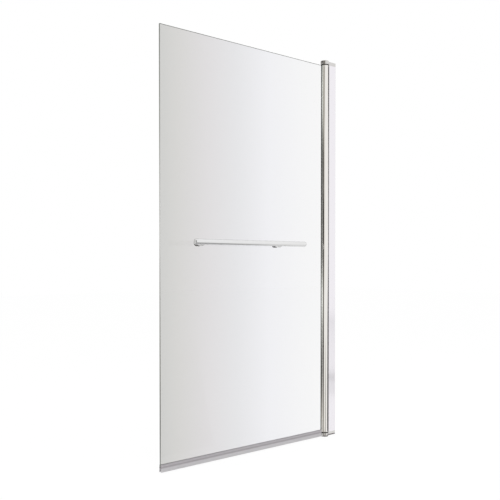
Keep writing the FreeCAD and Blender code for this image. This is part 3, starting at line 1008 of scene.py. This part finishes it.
@dataclass
class TowelRail:
    """Chromed rail with domed ends on two posts through the glass."""

    finishes: dict[str, Finish] = field(
        default_factory=lambda: {
            "towel_rail": CHROMED_TUBE,
            "rail_end_caps": CHROMED_TUBE,
            "rail_inserts": BRASS,
            # Posts and cap nuts in steel darkened to a painted shade, for the shade under the
            # rail.
            "rail_posts": SHADED_POLISHED_STEEL,
            "rail_boss_rings": CHROMED_TURNING,
            "glass_hole_bushes": CLEAR_VINYL,
            "rear_glass_washers": CLEAR_VINYL,
            "rail_studs": STAINLESS,
            "rail_cap_nuts": SHADED_POLISHED_STEEL,
        }
    )

    def build(self, nodes: dict[str, bpy.types.Object]) -> None:
        """Dress the rail's nodes.

        Args:
            nodes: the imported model's nodes by name.
        """
        dress_nodes(nodes, self.finishes)


# ---------------------------------------------------------------- studio

HINGE_X = -0.048
# Points along each level of an upright card.
CARD_COLUMNS = 9
# Distances in metres from the hinge at which cards stand.
FAR_CARDS, NEAR_CARDS, RIGHT_CARD, PROFILE_CARD = 2.0, 0.9, 1.0, 0.93
# Above this height the cards are seen by the top bracket's boss only.
BOSS_LINE = 0.957
BOSS_HEAD = 1.5
# Bearings between which each boss card stands, and the cards' colours.
BOSS_BEARINGS = (100.0, 145.0, 176.0, 204.0, 231.0, 258.0)
BOSS_COLOURS = ("7C7A76", "42403E", "878480", "737068", "D8D6D2")
# The cards reach below the floor, which lets shallow reflections through.
FAR_FOOT, FAR_HEAD = -1.25, 1.27
FAR_BEND = 0.04


@dataclass(frozen=True)
class Card:
    """Card that only reflections see, glowing in colours graded along one axis.

    grid holds rows of points in metres, from one edge of the card to the other; start and end
    are the places on the axis where stops begin and end.
    """

    name: str
    grid: np.ndarray
    stops: Stops
    axis: Axis = Axis.Z
    start: float = 0.0
    end: float = 1.0

    def material(self) -> bpy.types.Material:
        """Build the material.

        Returns:
            The material.
        """
        material = blank_material(self.name)
        tree = material.node_tree
        colour = grade(tree, self.axis, self.start, self.end, self.stops)
        glow = add_node(tree, "ShaderNodeEmission", None, {"Color": colour})
        add_node(tree, "ShaderNodeOutputMaterial", None, {"Surface": glow.outputs[0]})
        return material

    def build(self) -> None:
        """Stand the card in the studio: a grid of quads through its rows of points."""
        rows, columns = self.grid.shape[:2]
        numbers = np.arange(rows * columns).reshape(rows, columns)
        quads = np.stack(
            [numbers[:-1, :-1], numbers[:-1, 1:], numbers[1:, 1:], numbers[1:, :-1]], axis=-1
        )
        mesh = bpy.data.meshes.new(self.name)
        mesh.from_pydata(self.grid.reshape(-1, 3).tolist(), [], quads.reshape(-1, 4).tolist())
        mesh.materials.append(self.material())
        card = bpy.data.objects.new(self.name, mesh)
        bpy.context.scene.collection.objects.link(card)
        card.visible_camera = False
        card.visible_diffuse = False
        card.visible_transmission = False
        card.visible_shadow = False


def plain(code: str) -> Stops:
    """Stops of one colour throughout.

    Args:
        code: the sRGB hex colour.

    Returns:
        The stops.
    """
    return ((0.0, code), (1.0, code))


def upright(name: str, distance: float, levels: tuple[Point, ...], stops: Stops) -> Card:
    """Card that curves round the hinge, its colours graded from its foot to its head.

    Each point lies at the hinge's axis plus distance times the cosine and sine of its bearing.

    Args:
        name: the card's name.
        distance: metres from the hinge's axis.
        levels: (height, first bearing, last bearing) from foot to head, bearings in degrees
            from +X.
        stops: places and colours from foot to head.

    Returns:
        The card.
    """
    height, first, last = np.array(levels).T
    turn = np.radians(np.linspace(first, last, CARD_COLUMNS, axis=1))
    x, y = HINGE_X + distance * np.cos(turn), distance * np.sin(turn)
    grid = np.stack([x, y, np.broadcast_to(height[:, None], turn.shape)], axis=-1)
    return Card(name, grid, stops, Axis.Z, levels[0][0], levels[-1][0])


CARDS = (
    # The dark and the pale part of what the tube's left side mirrors.
    upright(
        "left card",
        FAR_CARDS,
        ((FAR_FOOT, 187.0, 222.0), (FAR_BEND, 177.0, 212.0), (FAR_HEAD, 168.0, 202.4)),
        (
            (0.0, "A4A29E"),
            (0.025, "A4A29E"),
            (0.03, "B0AEA8"),
            (0.09, "8C8A84"),
            (0.15, "74726E"),
            (0.22, "565451"),
            (0.28, "62605D"),
            (0.33, "7C7A76"),
            (0.38, "84827E"),
            (0.42, "6C6A66"),
            (0.47, "585653"),
            (0.52, "403E3C"),
            (0.555, "1E1C1B"),
            (0.625, "1E1C1B"),
            (0.67, "64625F"),
            (0.72, "545250"),
            (0.765, "5A5855"),
            (0.81, "8E8C87"),
            (0.85, "B0AEA8"),
            (0.94, "BCBAB4"),
            (1.0, "C8C6C0"),
        ),
    ),
    upright(
        "pale left card",
        FAR_CARDS,
        ((FAR_FOOT, 222.0, 250.0), (FAR_BEND, 212.0, 241.0), (FAR_HEAD, 202.4, 231.5)),
        (
            (0.0, "C4C2BE"),
            (0.025, "C4C2BE"),
            (0.03, "FFFFFC"),
            (0.38, "FFFFFC"),
            (0.44, "F2F0EC"),
            (0.51, "E8E6E2"),
            (0.60, "E2E0DC"),
            (0.70, "DCDAD6"),
            (0.83, "DAD8D4"),
            (0.87, "C2C0BA"),
            (1.0, "B2B0AA"),
        ),
    ),
    # The grey streak down the middle of the tube's lower half.
    upright(
        "low grey card",
        NEAR_CARDS,
        ((-0.96, 251.0, 278.0), (-0.30, 246.0, 270.0)),
        (
            (0.0, "B6B4B0"),
            (0.38, "BAB8B4"),
            (0.55, "D0CECA"),
            (0.70, "DEDCD8"),
            (0.82, "FAFAF8"),
        ),
    ),
    # The bands round the top bracket's boss.
    *(
        upright(
            f"boss card {number}",
            NEAR_CARDS,
            ((BOSS_LINE, first, last), (BOSS_HEAD, first, last)),
            plain(code),
        )
        for number, (first, last, code) in enumerate(
            zip(BOSS_BEARINGS, BOSS_BEARINGS[1:], BOSS_COLOURS), start=1
        )
    ),
    # The dark line along the tube's right edge: painted shade, a near-black card that the edge
    # mirrors where the gap beside the profile is in shade.
    upright(
        "right card",
        RIGHT_CARD,
        (
            (-0.94, -33.0, 4.0),
            (-0.60, -30.0, 0.0),
            (-0.35, -26.0, 0.0),
            (-0.10, -10.0, 14.0),
            (0.0, -4.0, 18.0),
            (0.50, -8.0, 18.0),
            (0.983, -20.0, 18.0),
        ),
        plain("14100C"),
    ),
    # The faint grey band across the profile's flat face.
    upright(
        "profile card",
        PROFILE_CARD,
        ((-0.735, -46.0, -39.5), (-0.28, -46.0, -39.5)),
        (
            (0.0, "F4F4F4"),
            (0.044, "EEEEEE"),
            (0.088, "EEEEEE"),
            (0.134, "F3F3F3"),
            (0.156, "EEEEEE"),
            (0.179, "DEDEDE"),
            (0.202, "D4D4D4"),
            (0.225, "D8D8D8"),
            (0.246, "EAEAEA"),
            (0.268, "F5F5F5"),
            (0.313, "FAFAFA"),
            (0.495, "FAFAFA"),
            (0.720, "F5F5F5"),
            (0.811, "F1F1F1"),
            (0.844, "EEEEEE"),
            (0.900, "F8F8F8"),
            (1.0, "FFFFFF"),
        ),
    ),
    # The dark edge under the bottom bracket: a painted contact shadow on the floor, seen only in
    # the bracket's reflections.
    Card(
        "contact shadow card",
        np.array(
            [
                [(-0.09, -0.034, -0.7172), (0.03, -0.034, -0.7172)],
                [(-0.09, -0.018, -0.7172), (0.03, -0.012, -0.7172)],
            ]
        ),
        plain("949092"),
    ),
    # A grey card beyond the wall's line, mirrored by faces turned away from the photo's view.
    # Painted shade: its grey darkens the side faces that mirror it.
    Card(
        "far card",
        np.array(
            [[(1.45, 1.97, 0.05), (1.10, 2.30, 0.05)], [(1.45, 1.97, 1.1), (1.10, 2.30, 1.1)]]
        ),
        plain("8C8C8C"),
    ),
)


@dataclass(frozen=True)
class Lamp:
    """Square soft lamp that faces the middle of the screen; size in metres, power in watts."""

    name: str
    at: Point
    size: float
    watts: float
    aim: Point = (-0.4, 0.0, 0.0)

    def build(self) -> None:
        """Hang the lamp where neither reflections nor the glass show it."""
        lamp = bpy.data.lights.new(self.name, "AREA")
        lamp.size = self.size
        lamp.energy = self.watts
        holder = bpy.data.objects.new(self.name, lamp)
        holder.location = self.at
        towards = Vector(self.aim) - Vector(self.at)
        holder.rotation_euler = towards.to_track_quat("-Z", "Y").to_euler()
        holder.visible_glossy = False
        holder.visible_transmission = False
        bpy.context.scene.collection.objects.link(holder)


@dataclass
class Studio:
    """Pale floor, plain white surroundings, soft lamps, the cards and the camera.

    Reflections that meet the floor at a steepness (the upward part of the ray's direction) below
    floor_pass go through it. Steeper ones see floor_stops, by steepness, which fade by
    floor_fade towards white over floor_fade_x, behind the wall. Whatever else is seen of the
    floor is floor_share of a glow of strength floor_glow, and matt for the rest.
    """

    floor_z: float = -0.7175
    floor_half: float = 12.0
    floor_colour: str = "EDEDED"
    floor_share: float = 0.9
    floor_glow: float = 1.04
    floor_pass: float = 0.28
    floor_stops: Stops = (
        (0.28, "EEEEEE"),
        (0.38, "B6B6B6"),
        (0.60, "A8A8A8"),
        (0.75, "A6A6A6"),
    )
    floor_fade_x: tuple[float, float] = (0.1, 0.4)
    floor_fade: float = 0.7
    world_light: float = 0.7
    lamps: tuple[Lamp, ...] = (
        Lamp("key", (-2.6, -2.4, 1.8), 1.6, 40.0),
        Lamp("fill", (1.6, -2.6, 1.2), 1.6, 20.0),
    )
    camera_at: Point = (-1.92976, -1.83559, -0.05299)
    camera_turn: float = -39.411
    camera_tilt: float = -0.898
    focal_pixels: float = 682.17
    image_pixels: float = 500.0
    centre_pixel: tuple[float, float] = (249.07, 273.89)
    sensor: float = 36.0
    clip_end: float = 100.0

    def build_world(self) -> None:
        """White for the eye, for reflections and through glass; softer as a source of light."""
        world = bpy.data.worlds.new("studio")
        world.use_nodes = True
        tree = world.node_tree
        tree.nodes.clear()
        seen = pick_seen(tree, add_node(tree, "ShaderNodeLightPath"))
        light = add_node(
            tree, "ShaderNodeBackground", {"Color": WHITE, "Strength": self.world_light}
        )
        white = add_node(tree, "ShaderNodeBackground", {"Color": WHITE, "Strength": 1.0})
        mixed = add_node(
            tree,
            "ShaderNodeMixShader",
            None,
            {0: seen, 1: light.outputs[0], 2: white.outputs[0]},
        )
        add_node(tree, "ShaderNodeOutputWorld", None, {"Surface": mixed.outputs[0]})
        bpy.context.scene.world = world

    def floor_material(self) -> bpy.types.Material:
        """Build the floor's material.

        Returns:
            The material.
        """
        material = blank_material("matt white floor")
        tree = material.node_tree
        path = add_node(tree, "ShaderNodeLightPath")
        seen = pick_seen(tree, path)
        reflected = add_node(
            tree,
            "ShaderNodeMath",
            {"operation": "GREATER_THAN"},
            {0: path.outputs["Is Glossy Ray"], 1: path.outputs["Is Transmission Ray"]},
        )
        lift = add_node(
            tree, "ShaderNodeMath", {"operation": "MULTIPLY", 1: self.floor_share}, {0: seen}
        )
        geometry = add_node(tree, "ShaderNodeNewGeometry")
        towards = add_node(
            tree, "ShaderNodeSeparateXYZ", None, {"Vector": geometry.outputs["Incoming"]}
        )
        steep = add_node(tree, "ShaderNodeValToRGB", None, {"Fac": towards.outputs["Z"]})
        set_stops(steep, self.floor_stops)
        place = add_node(
            tree, "ShaderNodeSeparateXYZ", None, {"Vector": geometry.outputs["Position"]}
        )
        near, far = self.floor_fade_x
        away = add_node(
            tree,
            "ShaderNodeMapRange",
            {"From Min": near, "From Max": far, "To Min": 0.0, "To Max": self.floor_fade},
            {"Value": place.outputs["X"]},
        )
        paler = add_node(
            tree,
            "ShaderNodeMixRGB",
            {"Color2": WHITE},
            {"Fac": away.outputs[0], "Color1": steep.outputs["Color"]},
        )
        mirrored = add_node(
            tree,
            "ShaderNodeMixRGB",
            {"Color1": WHITE},
            {"Fac": reflected.outputs[0], "Color2": paler.outputs[0]},
        )
        matt = add_node(tree, "ShaderNodeBsdfDiffuse", {"Color": linear(self.floor_colour)})
        glow = add_node(
            tree,
            "ShaderNodeEmission",
            {"Strength": self.floor_glow},
            {"Color": mirrored.outputs[0]},
        )
        mixed = add_node(
            tree,
            "ShaderNodeMixShader",
            None,
            {0: lift.outputs[0], 1: matt.outputs[0], 2: glow.outputs[0]},
        )
        shallow = add_node(
            tree,
            "ShaderNodeMath",
            {"operation": "LESS_THAN", 1: self.floor_pass},
            {0: towards.outputs["Z"]},
        )
        passed = add_node(
            tree,
            "ShaderNodeMath",
            {"operation": "MULTIPLY"},
            {0: shallow.outputs[0], 1: reflected.outputs[0]},
        )
        clear = add_node(tree, "ShaderNodeBsdfTransparent")
        surface = add_node(
            tree,
            "ShaderNodeMixShader",
            None,
            {0: passed.outputs[0], 1: mixed.outputs[0], 2: clear.outputs[0]},
        )
        add_node(tree, "ShaderNodeOutputMaterial", None, {"Surface": surface.outputs[0]})
        return material

    def build_floor(self) -> None:
        """Lay the pale floor, which reads white and keeps a faint shadow of the object."""
        half = self.floor_half
        mesh = bpy.data.meshes.new("floor")
        corners = [(-half, -half), (half, -half), (half, half), (-half, half)]
        mesh.from_pydata([(x, y, self.floor_z) for x, y in corners], [], [(0, 1, 2, 3)])
        mesh.materials.append(self.floor_material())
        floor = bpy.data.objects.new("floor", mesh)
        bpy.context.scene.collection.objects.link(floor)

    def build_camera(self) -> None:
        """Add the camera at the photograph's place and angle."""
        camera = bpy.data.cameras.new("camera")
        camera.sensor_width = self.sensor
        camera.lens = self.focal_pixels / self.image_pixels * camera.sensor_width
        camera.shift_x = 0.5 - self.centre_pixel[0] / self.image_pixels
        camera.shift_y = self.centre_pixel[1] / self.image_pixels - 0.5
        camera.clip_end = self.clip_end
        holder = bpy.data.objects.new("camera", camera)
        holder.location = self.camera_at
        tilt, turn = math.radians(90 + self.camera_tilt), math.radians(self.camera_turn)
        holder.rotation_euler = (tilt, 0.0, turn)
        bpy.context.scene.collection.objects.link(holder)
        bpy.context.scene.camera = holder

    def build(self) -> None:
        """Build the whole studio."""
        bpy.context.scene.view_settings.view_transform = "Standard"
        self.build_world()
        self.build_floor()
        for lamp in self.lamps:
            lamp.build()
        for card in CARDS:
            card.build()
        self.build_camera()
        LOG.info("studio built")


def main() -> None:
    """Build the studio and every sub-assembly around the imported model."""
    logging.basicConfig(level=logging.INFO, format="%(name)s: %(message)s")
    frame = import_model()
    nodes = frame["nodes"]
    Studio().build()
    WallSide().build(nodes)
    HingeFrame().build(nodes)
    PivotTube().build(nodes)
    GlassSheet().build()
    BottomSeal().build()
    TowelRail().build(nodes)


if __name__ == "__main__":
    main()
